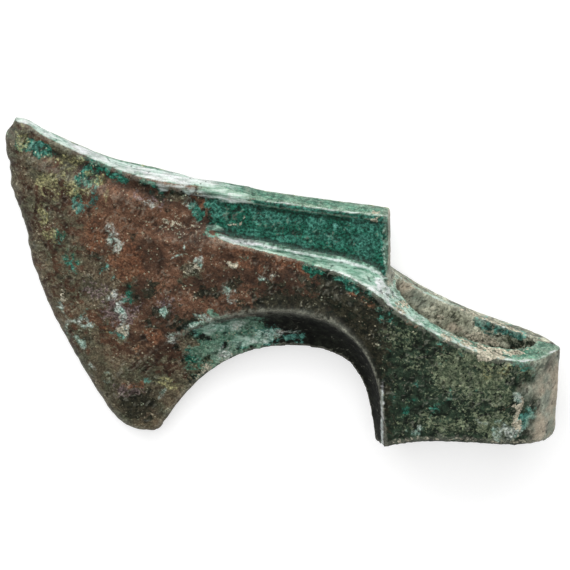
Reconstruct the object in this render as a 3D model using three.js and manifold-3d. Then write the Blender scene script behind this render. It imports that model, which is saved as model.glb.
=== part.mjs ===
// A cast bronze shaft-hole axe head, lying on its side.
// One solid: a fan blade with a beak above and a heel below, a thin crest that carries the spine line,
// a ledge beside the crest that sweeps down into the slanting mouth of the socket,
// a hollowed throat between heel and socket with a ridge round it, and a shaft hole right through.
//
// The axe is shaped in its own frame, in millimetres, and is then laid down to rest:
// x runs from the blade (-) to the butt (+), y up along the shaft, z across the thickness.
// The middle of the shaft hole is x = 0, and the highest part of the socket's arched foot is y = 0.

import * as THREE from 'three';
import { ConvexHull } from 'three/addons/math/ConvexHull.js';
import { mergeVertices } from 'three/addons/utils/BufferGeometryUtils.js';
import Module from 'manifold-3d';

const { clamp, lerp, smoothstep } = THREE.MathUtils;

const LENGTH = 166.6; // overall, from the fullest point of the cutting edge to the butt

// Shaft hole and the walls round it
const BORE_LENGTH = 43.4;
const BORE_WIDTH = 18.8;
const BORE_NOSE = 6.4; // width of the flat front of the hole
const BORE_DRAFT = 0.9; // each side draws in by this much from mouth to foot
const SIDE_WALL = 4.6;
const BUTT_WALL = 7.8;
const THROAT_WALL = 4.1;

// Socket
const RIM_AT_CREST = 45.2;
const RIM_AT_BUTT = 26.6;
const RIM_SLOPE = 0.16; // rise per millimetre inwards from the rim's outer edge
const TOE_DROP = 6.2; // the foot's ends reach this far below its middle, towards the throat
const BUTT_DROP = 3.2; // and at the butt
const TOE_LIP = 0.4; // the throat wall's edge stands below the foot by this much
const FOOT_BEVEL = 0.9;
const BUTT_KEEL = 1.2; // width of the blunt keel down the butt
const BUTT_LEAN = 0.8; // the butt comes in by this much at the foot
const BUTT_ROUND = 3.0;
const CORNER_WALL = 3.9; // how much narrower the socket's front corners are than its middle, each side

// Crest and spine
const CREST_SETBACK = 0.7; // from the shaft hole to the end of the crest
const CREST_TOP = 68.6;
const CREST_THICKNESS = 7.9;
const PANEL_RECESS = 0.7; // each side, below the border
const BORDER = 1.8;
const SHOULDER_AT = 61.5; // from the end of the crest back to the shoulder's top
const LEDGE_START_AT = 54.0; // from the end of the crest back to where the ledge starts
const LEDGE_START_UP = 62.0;
const LEDGE_FALL_AT_START = 0.6; // from the crest's root to the ledge's outer edge
const LEDGE_FALL_AT_END = 3.6;
const LEDGE_CURVE = 1.6; // 1 is a flat ledge, more is a fillet against the crest
const TOP_CROWN = 0.4; // the spine is domed by this much
const ROOT_DEPTH = 4; // how far the crest runs on inside the body
const CREST_TAIL = 8; // and how far it runs on inside the blade
const SHOULDER_SHARE = 0.14; // the share of the neck's outline taken by the fall from spine to ledge

// Blade
const EDGE_SWELL = 2.7; // the cutting edge's fullest point stands this far beyond the beak
const BEAK_UP = 93.4;
const BEAK_ROUND = 7.6;
const HEEL_SETBACK = 37.6; // from the beak to the heel's lowest point, along x
const HEEL_UP = -6.8;
const HEEL_ROUND = 8.8;
const EDGE_THICKNESS = 1.3;
const BLADE_THICKNESS = 12.6; // at the shoulder
const LIP_THICKNESS = 3.6; // of the thin edge round the throat

// Throat
const CROWN_AT = 49.0; // top of the arch, from the middle of the shaft hole
const CROWN_UP = 24.1;
const RIDGE_BEHIND = 23; // from the crown back to where the ridge begins, along x
const RIDGE_ABOVE = 11; // and up
const RIDGE_BEAD = 0.6; // the ridge stands proud of the body by this much
const FACE_HOLLOW = 0.5; // the body between ledge and ridge is hollowed by this much
const COVE_CURVE = 1.8; // 1 is a straight slope from ridge to lip, more is a deeper hollow
const BEAD_REACH = 1.6; // half-width of the ridge's bead
const CORNER = 0.7; // worn corners

// Mesh density
const BLADE_STATIONS = 24;
const NECK_STATIONS = 30;
const SOCKET_STATIONS = 22;
const CREST_STATIONS = 26;
const TOP_ROWS = 3;
const FACE_ROWS = 9;
const ROW_CROWDING = 1.3; // 1 spaces the face's rows evenly, more crowds them towards the top
const COVE_ROWS = 7;
const BORE_SIDES = 26; // per half

const boreFront = -BORE_LENGTH / 2;
const socketHalf = BORE_WIDTH / 2 + SIDE_WALL;
const buttAt = BORE_LENGTH / 2 + BUTT_WALL;
const throatAt = boreFront - THROAT_WALL;
const crestEnd = boreFront - CREST_SETBACK;
const crestHalf = CREST_THICKNESS / 2;
const bladeHalf = BLADE_THICKNESS / 2;
const lipHalf = LIP_THICKNESS / 2;
const cornerHalf = socketHalf - CORNER_WALL;

const point = (x, y) => new THREE.Vector2(x, y);
const from = (origin, x, y) => point(origin.x + x, origin.y + y);

// A curve from a to b that leaves a and reaches b along two handles, which are shares of the span
function sweep(a, leave, reach, b) {
  const span = a.distanceTo(b);
  return new THREE.CubicBezierCurve(
    a, from(a, leave[0] * span, leave[1] * span), from(b, reach[0] * span, reach[1] * span), b);
}

// A rounded corner from a to b about a corner point
const turn = (a, corner, b) => new THREE.QuadraticBezierCurve(a, corner, b);

function chain(...curves) {
  const path = new THREE.CurvePath();
  path.curves = curves;
  return path;
}

// A smooth value at x through a few [x, value] pairs, without overshoot
function through(pairs, x) {
  const last = pairs.length - 1;
  const at = clamp(x, pairs[0][0], pairs[last][0]);
  let i = 0;
  while (i < last - 1 && at > pairs[i + 1][0]) i += 1;
  const slope = (k) => (pairs[k + 1][1] - pairs[k][1]) / (pairs[k + 1][0] - pairs[k][0]);
  const tangent = (k) => {
    if (k === 0) return slope(0);
    if (k === last) return slope(last - 1);
    const before = slope(k - 1);
    const after = slope(k);
    return before * after > 0 ? (2 * before * after) / (before + after) : 0;
  };
  const [x0, y0] = pairs[i];
  const [x1, y1] = pairs[i + 1];
  const span = x1 - x0;
  const t = (at - x0) / span;
  return y0 * (1 + 2 * t) * (1 - t) ** 2 + tangent(i) * span * t * (1 - t) ** 2
    + y1 * t * t * (3 - 2 * t) + tangent(i + 1) * span * t * t * (t - 1);
}

// The height of a curve over x, for a curve that never turns back
function heights(curve) {
  const samples = curve.getPoints(160).map((p) => [p.x, p.y]);
  return (x) => {
    let i = 0;
    while (i < samples.length - 2 && x > samples[i + 1][0]) i += 1;
    const [x0, y0] = samples[i];
    const [x1, y1] = samples[i + 1];
    return lerp(y0, y1, (x - x0) / (x1 - x0));
  };
}

// Outline: spine, cutting edge, throat
const beak = point(buttAt + EDGE_SWELL - LENGTH, BEAK_UP);
const edgeTop = from(beak, -0.33 * BEAK_ROUND, -0.95 * BEAK_ROUND);
const heel = point(beak.x + HEEL_SETBACK, HEEL_UP);
const edgeFoot = from(heel, -0.94 * HEEL_ROUND, 0.33 * HEEL_ROUND);
const heelEnd = from(heel, 0.57 * HEEL_ROUND, 0.2 * HEEL_ROUND);
const spineEnd = point(crestEnd, CREST_TOP);
const crown = point(-CROWN_AT, CROWN_UP);
const toe = point(throatAt, -TOE_DROP - TOE_LIP);
const spine = sweep(beak, [0.237, -0.158], [-0.246, 0.022], spineEnd);
const spineUp = heights(spine);
const cuttingEdge = chain(
  turn(beak, from(beak, -0.4 * BEAK_ROUND, -0.24 * BEAK_ROUND), edgeTop),
  sweep(edgeTop, [0.019, -0.283], [-0.197, 0.222], edgeFoot),
  turn(edgeFoot, from(heel, -0.53 * HEEL_ROUND, -0.03 * HEEL_ROUND), heel),
);
const throatLeft = chain(
  turn(heel, from(heel, 0.39 * HEEL_ROUND, -0.02 * HEEL_ROUND), heelEnd),
  sweep(heelEnd, [0.252, 0.424], [-0.349, 0], crown),
);
const throatRight = sweep(crown, [0.455, 0], [-0.057, 0.545], toe);

// Ledge and rim: the outer edge of the body's upper side, and the ridge round the throat
const shoulderTop = point(crestEnd - SHOULDER_AT, spineUp(crestEnd - SHOULDER_AT));
const ledgeStart = point(crestEnd - LEDGE_START_AT, LEDGE_START_UP);
const rimStart = point(crestEnd, RIM_AT_CREST);
const rimEnd = point(buttAt, RIM_AT_BUTT);
const ledge = sweep(ledgeStart, [0.217, -0.101], [-0.115, 0.175], rimStart);
const rim = sweep(rimStart, [0.356, -0.254], [-0.201, -0.018], rimEnd);
const ledgeUp = heights(ledge);
const rimUp = heights(rim);
const upperUp = (x) => (x < crestEnd ? ledgeUp(x) : rimUp(x));
const ledgeFall = (x) => lerp(LEDGE_FALL_AT_START, LEDGE_FALL_AT_END,
  smoothstep(x, lerp(ledgeStart.x, crestEnd, 0.37), crestEnd) ** 1.5);
const ridgeStart = from(crown, -RIDGE_BEHIND, RIDGE_ABOVE);
const ridgeEnd = point(crestEnd, lerp(-TOE_DROP, 0, 0.26));
const ridge = sweep(ridgeStart, [0.614, 0.198], [0.005, 0.535], ridgeEnd);

// The foot: a shallow arch seen from the side, with a rounded back corner
function footUp(x) {
  const [end, drop] = x < 0 ? [throatAt, TOE_DROP] : [buttAt, BUTT_DROP];
  const intoCorner = clamp(x - (buttAt - BUTT_ROUND), 0, BUTT_ROUND);
  const corner = BUTT_ROUND - Math.sqrt(BUTT_ROUND ** 2 - intoCorner ** 2);
  return -drop * Math.min(x / end, 1) ** 2.1 + corner;
}

// Half-thickness, as shares of the blade's at the shoulder and of the socket's
const bladeProfile = [
  [0, EDGE_THICKNESS / 2], [0.05, bladeHalf * 0.36], [0.24, bladeHalf * 0.62],
  [0.65, bladeHalf * 0.79], [1, bladeHalf],
];
const widening = (share) => lerp(bladeHalf, socketHalf, share);
const ledgeProfile = [
  [0, widening(0)], [0.12, widening(0.12)], [0.3, widening(0.3)], [0.5, widening(0.5)],
  [0.65, widening(0.7)], [0.8, widening(0.87)], [1, widening(0.95)],
];
const ridgeProfile = [
  [0, bladeHalf * 1.04], [0.2, lerp(bladeHalf, cornerHalf, 0.6)], [0.32, lerp(bladeHalf, cornerHalf, 0.94)],
  [0.48, lerp(cornerHalf, socketHalf, 0.36)], [0.62, lerp(cornerHalf, socketHalf, 0.4)],
  [0.8, lerp(cornerHalf, socketHalf, 0.18)], [1, cornerHalf],
];
const buttPlan = [
  [0, 1], [0.3, 0.99], [0.56, 0.9], [0.69, 0.79], [0.77, 0.67], [0.86, 0.48], [0.93, 0.27],
  [1, BUTT_KEEL / 2 / socketHalf],
];

// Where a cross-section's rows lie: v = 0 is the outer edge of the top, RIDGE_ROW the ridge, 1 the lip.
const RIDGE_ROW = 0.8;

// The blade spans the cutting edge and the shoulder line, and the spine and the lower outline.
const LIP_SHARE = 0.72; // how far along the throat's left side the blade ends
const shoulderLip = throatLeft.getPoint(LIP_SHARE);
function shoulderLine(v) {
  if (v <= RIDGE_ROW) return shoulderTop.clone().lerp(ridgeStart, v / RIDGE_ROW);
  return ridgeStart.clone().lerp(shoulderLip, (v - RIDGE_ROW) / (1 - RIDGE_ROW));
}

function bladePoint(t, v) {
  const x = lerp(beak.x, shoulderTop.x, t);
  const across = cuttingEdge.getPoint(v).lerp(shoulderLine(v), t);
  const along = point(x, spineUp(x)).lerp(throatLeft.getPoint(LIP_SHARE * t), v);
  const corners = beak.clone().lerp(shoulderTop, t).lerp(heel.clone().lerp(shoulderLip, t), v);
  return across.add(along).sub(corners);
}

function bladeSection(t) {
  const half = through(bladeProfile, t);
  return {
    at: (v) => bladePoint(t, v),
    top: half,
    ridge: half,
    lip: Math.min(half, lipHalf),
    curve: lerp(1, COVE_CURVE, t),
    hollow: FACE_HOLLOW * t * t,
    bead: RIDGE_BEAD * smoothstep(t, 0.55, 1),
    fall: TOP_CROWN,
    bevel: 0,
  };
}

function straightRows(top, crest, lip) {
  return (v) => (v <= RIDGE_ROW ? top.clone().lerp(crest, v / RIDGE_ROW)
    : crest.clone().lerp(lip, (v - RIDGE_ROW) / (1 - RIDGE_ROW)));
}

// Lip from the shoulder line on: the rest of the throat's left side, then its right side
const leftRest = (1 - LIP_SHARE) * throatLeft.getLength();
const lipLength = leftRest + throatRight.getLength();
function lipPoint(q) {
  const along = q * lipLength;
  if (along < leftRest) return throatLeft.getPoint(LIP_SHARE + along / throatLeft.getLength());
  return throatRight.getPointAt(Math.min((along - leftRest) / throatRight.getLength(), 1));
}

function neckSection(q) {
  const top = q < SHOULDER_SHARE ? shoulderTop.clone().lerp(ledgeStart, q / SHOULDER_SHARE)
    : ledge.getPointAt((q - SHOULDER_SHARE) / (1 - SHOULDER_SHARE));
  const share = clamp((top.x - ledgeStart.x) / (crestEnd - ledgeStart.x), 0, 1);
  return {
    at: straightRows(top, ridge.getPointAt(q), lipPoint(q)),
    top: through(ledgeProfile, share),
    ridge: through(ridgeProfile, q),
    lip: lipHalf,
    curve: lerp(COVE_CURVE, 1, smoothstep(q, 0.6, 0.95)),
    hollow: FACE_HOLLOW,
    bead: RIDGE_BEAD * (1 - smoothstep(q, 0.85, 1)),
    fall: lerp(TOP_CROWN, ledgeFall(top.x), smoothstep(q, 0, SHOULDER_SHARE)),
    bevel: 0,
  };
}

function socketSection(k) {
  const x = lerp(crestEnd, buttAt, Math.sin((Math.PI / 2) * (k / SOCKET_STATIONS)));
  const settle = Math.exp(-k);
  const lean = BUTT_LEAN * Math.max(x / buttAt, 0) ** 2;
  const plan = x > 0 ? socketHalf * through(buttPlan, x / buttAt)
    : lerp(through(ledgeProfile, 1), socketHalf, smoothstep(x, crestEnd, 0));
  const foot = x > 0 ? plan : lerp(cornerHalf, socketHalf, Math.sin((Math.PI / 2) * (1 - x / crestEnd)));
  return {
    at: straightRows(point(x, rimUp(x)), point(x - lean, footUp(x)),
      point(x - lean + (toe.x - crestEnd) * settle, footUp(x) + (toe.y - footUp(crestEnd)) * settle)),
    top: plan,
    ridge: foot,
    lip: Math.min(lipHalf, foot * 0.6),
    curve: 1,
    hollow: FACE_HOLLOW * Math.exp(-k / 1.5),
    bead: 0,
    fall: lerp(LEDGE_FALL_AT_END, RIM_SLOPE * (socketHalf - crestHalf), smoothstep(k, 0, 2.5))
      * Math.min(plan / socketHalf, 1),
    bevel: Math.min(FOOT_BEVEL, foot * 0.3) * smoothstep(k, 0, 2),
  };
}

const bump = (distance) => Math.exp(-((distance / BEAD_REACH) ** 2));

// The near half of one cross-section, from the middle of the top round to the middle of the lip
function halfRing(section) {
  const { at, top, ridge: ridgeHalf, lip, curve, hollow, bead, fall, bevel } = section;
  const edge = at(0);
  const crest = at(RIDGE_ROW);
  const bottom = at(1);
  const points = [];
  const inner = Math.min(crestHalf, top * 0.6);
  const worn = Math.min(CORNER, top * 0.25);
  const put = (p, rise, z) => points.push(new THREE.Vector3(p.x, p.y + rise, z));
  put(edge, fall, 0);
  for (let i = 0; i <= TOP_ROWS; i += 1) {
    const z = lerp(inner, top - worn, i / TOP_ROWS);
    put(edge, fall * ((top - z) / (top - inner)) ** LEDGE_CURVE, z);
  }
  const faceLength = edge.distanceTo(crest);
  const coveLength = crest.distanceTo(bottom);
  for (let j = 0; j <= FACE_ROWS; j += 1) {
    const even = (j / FACE_ROWS) ** ROW_CROWDING;
    const down = j === FACE_ROWS - 1 ? Math.max(1 - BEAD_REACH / faceLength, even) : even;
    const proud = bead * bump((1 - down) * faceLength);
    const cut = j === FACE_ROWS ? bevel : 0;
    const z = lerp(top, ridgeHalf, down) - hollow * Math.sin(Math.PI * down) + proud - cut;
    put(at(down * RIDGE_ROW), j === 0 ? -worn : 0, z);
  }
  for (let j = 1; j <= COVE_ROWS; j += 1) {
    const even = j / COVE_ROWS;
    const down = j === 1 ? Math.min(BEAD_REACH / coveLength, even) : even;
    const proud = bead * bump(down * coveLength);
    const z = lip + (ridgeHalf - bevel - lip) * (1 - down) ** curve + proud;
    put(at(RIDGE_ROW + (1 - RIDGE_ROW) * down), 0, z);
  }
  put(bottom, 0, 0);
  return points;
}

const mirrored = (p) => new THREE.Vector3(p.x, p.y, -p.z);
function fullRing(half) {
  const far = half.slice(1, -1).reverse().map(mirrored);
  return [...half, ...far];
}

// A closed skin through rings that all have the same number of points, each mirrored about z = 0
function loft(rings) {
  const count = rings[0].length;
  const positions = rings.flat().flatMap((p) => [p.x, p.y, p.z]);
  const index = [];
  const quad = (a, b, c, d) => index.push(a, b, c, a, c, d);
  for (let i = 0; i < rings.length - 1; i += 1) {
    for (let j = 0; j < count; j += 1) {
      const next = (j + 1) % count;
      quad(i * count + j, i * count + next, (i + 1) * count + next, (i + 1) * count + j);
    }
  }
  const last = (rings.length - 1) * count;
  for (const [base, flip] of [[0, true], [last, false]]) {
    for (let j = 0; j < count / 2; j += 1) {
      const a = base + j;
      const b = base + j + 1;
      const c = base + ((count - j - 1) % count);
      const d = base + ((count - j) % count);
      const corners = [a, b, c, d].filter((v, at, all) => all.indexOf(v) === at);
      for (let n = 1; n < corners.length - 1; n += 1) {
        if (flip) index.push(corners[0], corners[n + 1], corners[n]);
        else index.push(corners[0], corners[n], corners[n + 1]);
      }
    }
  }
  const geometry = new THREE.BufferGeometry();
  geometry.setAttribute('position', new THREE.Float32BufferAttribute(positions, 3));
  geometry.setIndex(index);
  return geometry;
}

// Body
const rings = [];
for (let i = 0; i < BLADE_STATIONS; i += 1) rings.push(bladeSection((i / BLADE_STATIONS) ** 1.5));
for (let i = 0; i <= NECK_STATIONS; i += 1) rings.push(neckSection(i / NECK_STATIONS));
for (let k = 1; k <= SOCKET_STATIONS; k += 1) rings.push(socketSection(k));
const body = loft(rings.map((section) => fullRing(halfRing(section))));

// Crest: a plate that carries the spine from the shoulder to the mouth, with a border round a sunk panel
function crestRing(x) {
  const hidden = 1 - smoothstep(x, shoulderTop.x - CREST_TAIL / 2, shoulderTop.x);
  const up = spineUp(x) - hidden;
  const root = upperUp(Math.max(x, ledgeStart.x)) + ledgeFall(Math.max(x, ledgeStart.x));
  const sunk = PANEL_RECESS * smoothstep(x, shoulderTop.x, ledgeStart.x)
    * (1 - smoothstep(x, crestEnd - 2 * BORDER, crestEnd - BORDER));
  const half = crestHalf - hidden * 0.8;
  const rows = [
    [up + TOP_CROWN, 0], [up + TOP_CROWN * 0.5, half * 0.6], [up, half - CORNER], [up - CORNER, half],
    [up - BORDER, half], [up - BORDER - PANEL_RECESS, half - sunk],
    [lerp(up, root, 0.5), half - sunk], [root + PANEL_RECESS, half - sunk],
    [root, half], [root - ROOT_DEPTH, half], [root - ROOT_DEPTH, 0],
  ];
  return rows.map(([y, z]) => new THREE.Vector3(x, y, z));
}
const crestRings = [];
for (let i = 0; i <= CREST_STATIONS; i += 1) {
  const even = i / CREST_STATIONS;
  const x = lerp(crestEnd, crestEnd - SHOULDER_AT - CREST_TAIL, (1 - even) ** 1.25);
  crestRings.push(fullRing(crestRing(x)));
}
const crest = loft(crestRings);

// Shaft hole: egg-shaped with a blunt nose towards the blade, drawing in towards the foot
const boreHalf = BORE_WIDTH / 2;
const nose = point(boreFront, BORE_NOSE / 2);
const widest = point(-0.05 * BORE_LENGTH, boreHalf);
const back = point(-boreFront, 0);
const boreOutline = chain(
  new THREE.LineCurve(point(boreFront, 0), nose),
  sweep(nose, [0.22, 0.147], [-0.44, 0], widest),
  sweep(widest, [0.54, 0], [0, 0.225], back),
);
function boreRing(y) {
  const draft = 1 - (BORE_DRAFT / boreHalf) * clamp((RIM_AT_CREST - y) / RIM_AT_CREST, 0, 1);
  const rows = boreOutline.getSpacedPoints(BORE_SIDES);
  return fullRing(rows.map((p) => new THREE.Vector3(p.x, y, p.y * draft)));
}
const beyond = SIDE_WALL;
const boreCutter = loft([-TOE_DROP - beyond, RIM_AT_CREST, CREST_TOP + beyond].map(boreRing));

const wasm = await Module();
wasm.setup();
function toSolid(geometry) {
  const merged = mergeVertices(geometry, 1e-4);
  const vertProperties = new Float32Array(merged.attributes.position.array);
  const triVerts = new Uint32Array(merged.index.array);
  return new wasm.Manifold(new wasm.Mesh({ numProp: 3, vertProperties, triVerts }));
}
function toGeometry(solid) {
  const mesh = solid.getMesh();
  const geometry = new THREE.BufferGeometry();
  geometry.setAttribute('position', new THREE.BufferAttribute(mesh.vertProperties, 3));
  geometry.setIndex(new THREE.BufferAttribute(mesh.triVerts, 1));
  geometry.computeVertexNormals();
  return geometry;
}
const geometry = toGeometry(toSolid(body).add(toSolid(crest)).subtract(toSolid(boreCutter)));

// The centre of a closed mesh's volume
function centroid(mesh) {
  const { position } = mesh.attributes;
  const index = mesh.index.array;
  const [a, b, c] = [new THREE.Vector3(), new THREE.Vector3(), new THREE.Vector3()];
  const sum = new THREE.Vector3();
  let total = 0;
  for (let i = 0; i < index.length; i += 3) {
    a.fromBufferAttribute(position, index[i]);
    b.fromBufferAttribute(position, index[i + 1]);
    c.fromBufferAttribute(position, index[i + 2]);
    const volume = a.dot(b.clone().cross(c)) / 6;
    total += volume;
    sum.addScaledVector(a.clone().add(b).add(c), volume / 4);
  }
  return sum.divideScalar(total);
}

// The turn that lays the axe on its far side: the flat under it is the side of its hull below its weight.
function layDown(mesh) {
  const { position } = mesh.attributes;
  const corners = [];
  for (let i = 0; i < position.count; i += 1) corners.push(new THREE.Vector3().fromBufferAttribute(position, i));
  const weight = centroid(mesh);
  const hull = new ConvexHull().setFromPoints(corners);
  for (const face of hull.faces) {
    const { normal } = face;
    if (normal.z > -0.9) continue;
    const triangle = new THREE.Triangle(
      face.edge.head().point, face.edge.next.head().point, face.edge.next.next.head().point);
    const below = weight.clone().addScaledVector(normal, triangle.a.clone().sub(weight).dot(normal));
    if (triangle.containsPoint(below)) {
      return new THREE.Quaternion().setFromUnitVectors(normal, new THREE.Vector3(0, 0, -1));
    }
  }
  throw new Error('nothing to rest on');
}

const bronze = new THREE.MeshStandardMaterial({ color: 0x6e6a4a, roughness: 0.72, metalness: 0.35 });
const axe = new THREE.Mesh(geometry, bronze);
axe.name = 'axe_head';
axe.quaternion.copy(layDown(geometry));
axe.updateMatrixWorld();
const box = new THREE.Box3().setFromObject(axe, true);
axe.position.set(-(box.min.x + box.max.x) / 2, -(box.min.y + box.max.y) / 2, -box.min.z);

const group = new THREE.Group();
group.add(axe);

export default group;
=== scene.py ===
# A cast bronze axe head, dressed from its solid: worn and chipped edges, corroded faces, and a patina of
# brown metal under malachite, ochre and chalky crusts.
import math
from itertools import product

import bpy
import numpy as np
from mathutils import Matrix, Vector


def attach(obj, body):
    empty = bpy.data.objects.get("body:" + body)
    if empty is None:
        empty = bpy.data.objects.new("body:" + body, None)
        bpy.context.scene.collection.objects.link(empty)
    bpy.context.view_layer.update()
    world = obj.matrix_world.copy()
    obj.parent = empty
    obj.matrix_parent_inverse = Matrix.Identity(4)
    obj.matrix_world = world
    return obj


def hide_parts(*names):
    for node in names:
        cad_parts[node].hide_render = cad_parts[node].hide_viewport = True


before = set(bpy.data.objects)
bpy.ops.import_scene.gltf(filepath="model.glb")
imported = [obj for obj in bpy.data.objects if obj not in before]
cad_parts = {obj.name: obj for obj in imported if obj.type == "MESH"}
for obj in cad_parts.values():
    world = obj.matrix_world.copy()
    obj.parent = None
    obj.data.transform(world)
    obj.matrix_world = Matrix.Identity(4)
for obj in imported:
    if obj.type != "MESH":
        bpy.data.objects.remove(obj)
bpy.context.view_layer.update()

MM = 0.001
SEED = 7
VOXEL = 0.58

# How the axe lies: its own axes (a along, u up the hole, w across) and its origin, in millimetres, in the
# frame of the part. The near side, which is seen, has w above 0.
LAID_DOWN = np.array([
    [0.994599, -0.002285, -0.103770, 53.551805],
    [-0.002285, 0.999033, -0.043905, -43.694347],
    [0.103770, 0.043905, 0.993632, 14.122494],
])

# Places on the axe, as a or as (a, u)
BLADE_END = -88
PANEL_START = -76
CREST_END = -22.4
BUTT = 29.5
BEAK = (-134.4, 93.4)
SPINE_END = (CREST_END, 68.6)
LEDGE_START = (-76.4, 62.0)
RIM_START = (CREST_END, 45.2)
RIM_END = (BUTT, 26.6)
CROWN = (-49.0, 24.1)
BORE_HALF = (21.7, 9.4)
BORE_MARGIN = 1.4


def to_axe(points):
    return (points / MM - LAID_DOWN[:, 3]) @ LAID_DOWN[:, :3]


def from_axe(places):
    return (LAID_DOWN[:, 3] + places @ LAID_DOWN[:, :3].T) * MM


def turn_to_axe(vectors):
    return vectors @ LAID_DOWN[:, :3]


def turn_from_axe(vectors):
    return vectors @ LAID_DOWN[:, :3].T


def smoothstep(low, high, x):
    t = np.clip((x - low) / (high - low), 0, 1)
    return t * t * (3 - 2 * t)


def bell(x, middle, width):
    return np.exp(-(((x - middle) / width) ** 2))


def read_off(table, at):
    """Values between the rows (place, value) of a table."""
    return np.interp(at, *zip(*table))


def sweep(start, leave, reach, end):
    """A curve as a height over a, with handles that are shares of its span."""
    start, end = np.array(start), np.array(end)
    span = np.linalg.norm(end - start)
    one, two = start + np.array(leave) * span, end + np.array(reach) * span
    t = np.linspace(0, 1, 200)[:, None]
    line = (1 - t) ** 3 * start + 3 * (1 - t) ** 2 * t * one + 3 * (1 - t) * t * t * two + t ** 3 * end
    return lambda a: np.interp(a, line[:, 0], line[:, 1])


spine_up = sweep(BEAK, (0.237, -0.158), (-0.246, 0.022), SPINE_END)
ledge_up = sweep(LEDGE_START, (0.217, -0.101), (-0.115, 0.175), RIM_START)
rim_up = sweep(RIM_START, (0.356, -0.254), (-0.201, -0.018), RIM_END)
ridge_up = sweep((CROWN[0] - 23, CROWN[1] + 11), (0.614, 0.198), (0.005, 0.535), (CREST_END, -1.6))


def socket_half(along):
    """Half-width of the socket's outer wall."""
    return 14 * np.sqrt(np.clip(1 - (np.maximum(along, 0) / BUTT) ** 2.6, 0, 1))


def gradient_noise(points, size, seed):
    """Smooth noise, about -1 to 1, whose features are about size millimetres across."""
    draw = np.random.default_rng(SEED * 1000 + seed)
    order = np.tile(draw.permutation(256), 3)
    slopes = draw.normal(size=(256, 3))
    slopes /= np.linalg.norm(slopes, axis=1)[:, None]
    p = points / size + draw.uniform(0, 50, 3)
    cell = np.floor(p).astype(int)
    inside = p - cell
    cell &= 255
    ease = inside ** 3 * (inside * (inside * 6 - 15) + 10)
    total = np.zeros(len(p))
    for corner in product((0, 1), repeat=3):
        c = np.array(corner)
        key = order[order[order[cell[:, 0] + c[0]] + cell[:, 1] + c[1]] % 256 + cell[:, 2] + c[2]] % 256
        share = np.prod(np.where(c, ease, 1 - ease), axis=1)
        total += share * ((inside - c) * slopes[key]).sum(1)
    return total * 1.7


def cloud(points, size, seed, octaves=4, keep=0.55):
    """Noise with finer noise on it."""
    total, weight, strength = np.zeros(len(points)), 0, 1.0
    for i in range(octaves):
        total += strength * gradient_noise(points, size / 2 ** i, seed + 31 * i)
        weight += strength
        strength *= keep
    return total / weight * 1.5


# The body: a copy of the solid, remeshed evenly so that it can carry relief
body = bpy.data.objects.new("axe_bronze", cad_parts["axe_head"].data.copy())
bpy.context.scene.collection.objects.link(body)
remesh = body.modifiers.new("even", "REMESH")
remesh.mode = "VOXEL"
remesh.voxel_size = VOXEL * MM
mesh = bpy.data.meshes.new_from_object(body.evaluated_get(bpy.context.evaluated_depsgraph_get()))
body.modifiers.clear()
body.data = mesh
mesh.materials.clear()

count = len(mesh.vertices)
flat = np.empty(count * 3)
mesh.vertices.foreach_get("co", flat)
points = flat.reshape(-1, 3).copy()
edges = np.empty(len(mesh.edges) * 2, dtype=int)
mesh.edges.foreach_get("vertices", edges)
edges = edges.reshape(-1, 2)
degree = np.bincount(edges.ravel(), minlength=count)[:, None]


def averaged(values):
    """The mean of each point's neighbours."""
    total = np.empty_like(values)
    for k in range(values.shape[1]):
        total[:, k] = (np.bincount(edges[:, 0], values[edges[:, 1], k], count)
                       + np.bincount(edges[:, 1], values[edges[:, 0], k], count))
    return total / degree


def relax(values, rounds, weight=1.0):
    """Evens out the surface without shrinking it; weight is per vertex, 0 to 1."""
    weight = np.broadcast_to(np.asarray(weight, dtype=float).reshape(-1, 1), (len(values), 1))
    for _ in range(rounds):
        values = values + 0.5 * weight * (averaged(values) - values)
        values = values - 0.52 * weight * (averaged(values) - values)
    return values


def soften(values, rounds, weight):
    """Wears corners round, and so shrinks them."""
    for _ in range(rounds):
        values = values + 0.5 * np.clip(weight, 0, 1)[:, None] * (averaged(values) - values)
    return values


def surface_normals():
    mesh.vertices.foreach_set("co", points.ravel())
    mesh.update()
    out = np.empty(count * 3)
    mesh.vertex_normals.foreach_get("vector", out)
    return out.reshape(-1, 3)


# Form. All places here are those of the evened solid.
points = relax(points, 5)
a, u, w = to_axe(points).T
side, half = np.sign(w), np.abs(w)
spine_gap = spine_up(a) - u
ledge_rise = u - ledge_up(a)

# a crease of the neck that a casting doesn't have
points = relax(points, 30, bell(a, -72, 9) * bell(u, 50, 16))
moved = to_axe(points)

# the panel starts softly: the blade's face falls away towards it, and a shallow valley follows the spine
PANEL_FALL, VALLEY_DEPTH = 1.9, 0.45
towards_panel = smoothstep(-104, -77, a) * smoothstep(-70, -77, a) * smoothstep(1.5, 4.5, spine_gap)
towards_panel *= smoothstep(58, 64, u)
valley = bell(spine_gap, 4.6, 2.2) * smoothstep(-133, -124, a) * smoothstep(-74, -80, a)
sink = (PANEL_FALL * towards_panel + VALLEY_DEPTH * valley) * (half > 3.4)
moved[:, 2] -= side * sink

# the blade's top is narrow, more so on the near side
NEAR_TAPER, FAR_TAPER = 0.45, 0.15
narrow = smoothstep(-136, -128, a) * (1 - 0.7 * smoothstep(-110, -92, a)) * smoothstep(-64, -90, a)
narrow *= smoothstep(10, 1.5, spine_gap)
moved[:, 2] *= 1 - np.where(w > 0, NEAR_TAPER, FAR_TAPER) * narrow

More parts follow.
